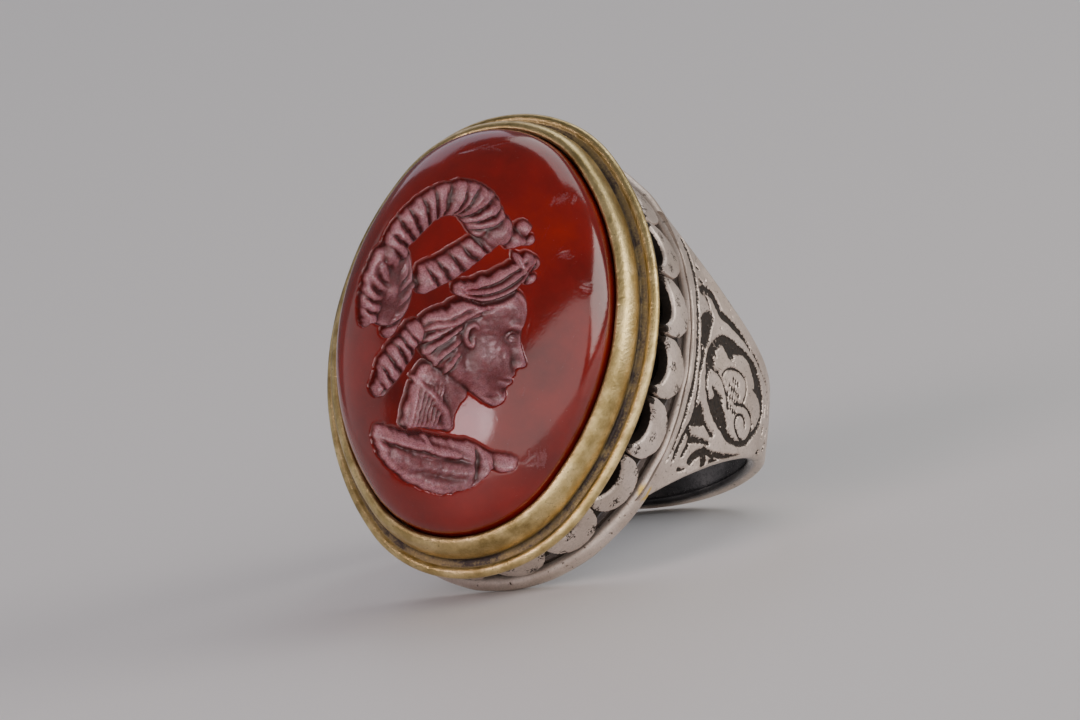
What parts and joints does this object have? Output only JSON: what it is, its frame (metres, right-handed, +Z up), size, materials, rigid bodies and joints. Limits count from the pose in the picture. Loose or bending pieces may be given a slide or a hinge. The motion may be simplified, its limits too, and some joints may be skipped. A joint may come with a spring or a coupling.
{
  "type": "intaglio ring",
  "caption": "Finger ring with a high oval carnelian carved with a sunk bust, in a gilt bezel over a pierced scalloped silver gallery and broad shoulders.",
  "frame": {"origin": "on the surface that the ring lies on, under the middle of its outline", "axes": "+X across the finger, which is the narrowest way; +Y from the stone's side to the back of the ring, which is the longest way; +Z up from the surface. The finger hole leans back from upright by about a third of a right angle, with the stone towards -Y"},
  "size_m": [0.0218, 0.0286, 0.0253],
  "materials": {
    "silver": "worn cast silver with dark patina in the recesses",
    "gilt": "worn pale gilding, tarnished in the groove",
    "carnelian": "polished translucent deep red, matt where carved"
  },
  "bodies": {
    "root": {"band": "silver", "bezel": "gilt", "stone": "carnelian"}
  },
  "joints": []
}
